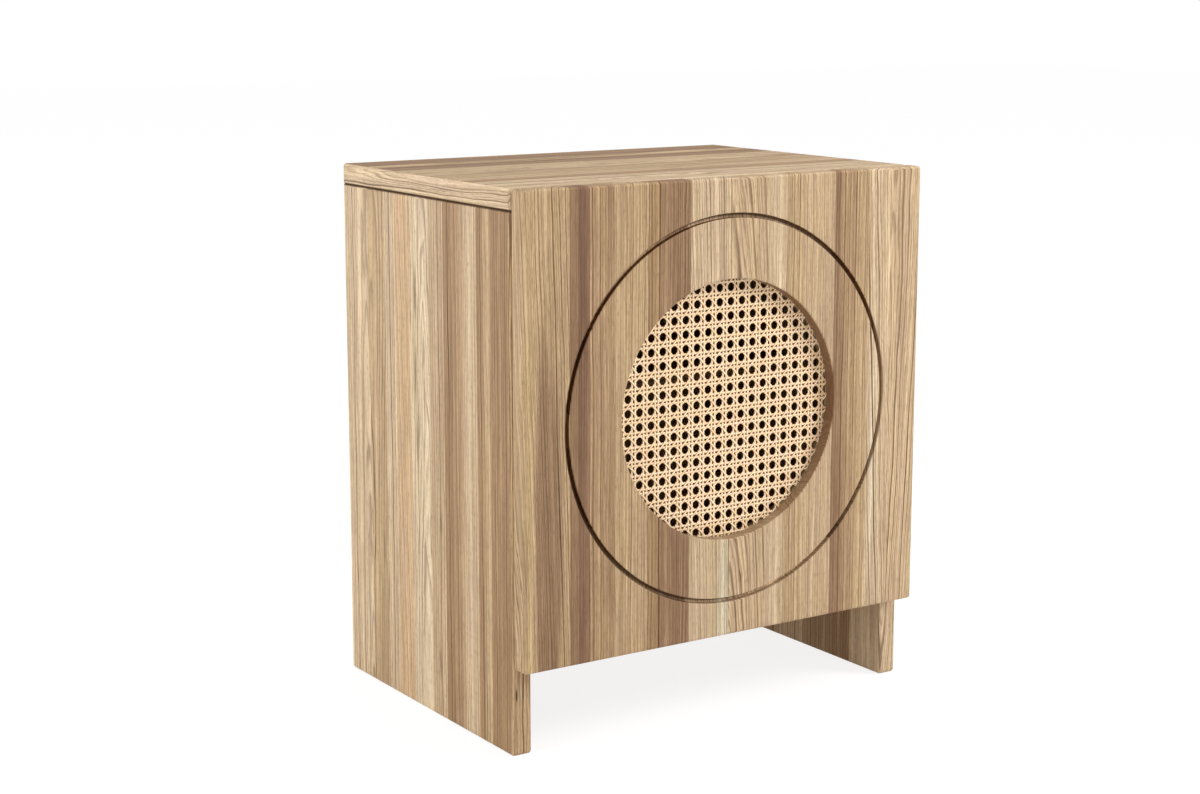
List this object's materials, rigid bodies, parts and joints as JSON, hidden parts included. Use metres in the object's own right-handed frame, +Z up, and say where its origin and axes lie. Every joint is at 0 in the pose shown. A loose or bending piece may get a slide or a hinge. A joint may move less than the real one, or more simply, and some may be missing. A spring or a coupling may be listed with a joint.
{
  "type": "side table with door",
  "caption": "Box side table on two full-depth side panels, with a full-overlay hinged door that has a round cane panel in a circular groove, a half-depth shelf inside and a push latch.",
  "frame": {"origin": "floor level under the middle of the whole table's box, the hinge barrels included", "axes": "+X to the viewer's right, the hinge side, +Y to the back, +Z up; the door faces -Y"},
  "size_m": [0.4524, 0.337, 0.512],
  "materials": {
    "stave_wood": "solid laminated stave boards, light brown, matt oiled",
    "plywood": "plywood, matt",
    "beech": "raw beech",
    "cane": "pale woven cane, natural sheen",
    "steel": "nickel-plated steel",
    "latch_plastic": "light grey moulded plastic"
  },
  "bodies": {
    "carcass": {"side_panel_left": "stave_wood", "side_panel_right": "stave_wood", "top_panel": "stave_wood", "bottom_panel": "stave_wood", "back_panel": "plywood", "shelf": "stave_wood", "top_dowels": "beech", "bottom_dowels": "beech", "shelf_pins": "steel", "back_panel_screws": "steel", "lower_hinge_side_leaf": "steel", "lower_hinge_pin": "steel", "lower_hinge_side_screws": "steel", "upper_hinge_side_leaf": "steel", "upper_hinge_pin": "steel", "upper_hinge_side_screws": "steel", "push_latch_body": "latch_plastic", "push_latch_screws": "steel"},
    "door": {"door_panel": "stave_wood", "cane_webbing": "cane", "cane_retaining_ring": "plywood", "retaining_ring_screws": "steel", "lower_hinge_door_leaf": "steel", "lower_hinge_door_screws": "steel", "upper_hinge_door_leaf": "steel", "upper_hinge_door_screws": "steel", "strike_plate": "steel", "strike_plate_screws": "steel"},
    "latch_plunger": {"push_latch_plunger": "latch_plastic", "push_latch_magnet": "steel"}
  },
  "joints": [
    {"name": "door_hinge", "type": "hinge", "parent": "carcass", "child": "door", "pos_m": [0.22425, -0.1475, 0.297], "axis": [0, 0, 1], "range_deg": [0, 180]},
    {"name": "plunger_slide", "type": "slide", "parent": "carcass", "child": "latch_plunger", "axis": [0, -1, 0], "range_m": [0, 0.02]}
  ],
  "couplings": [
    {"joint": "plunger_slide", "follows": "door_hinge", "m_per_rad": 0.006366}
  ]
}
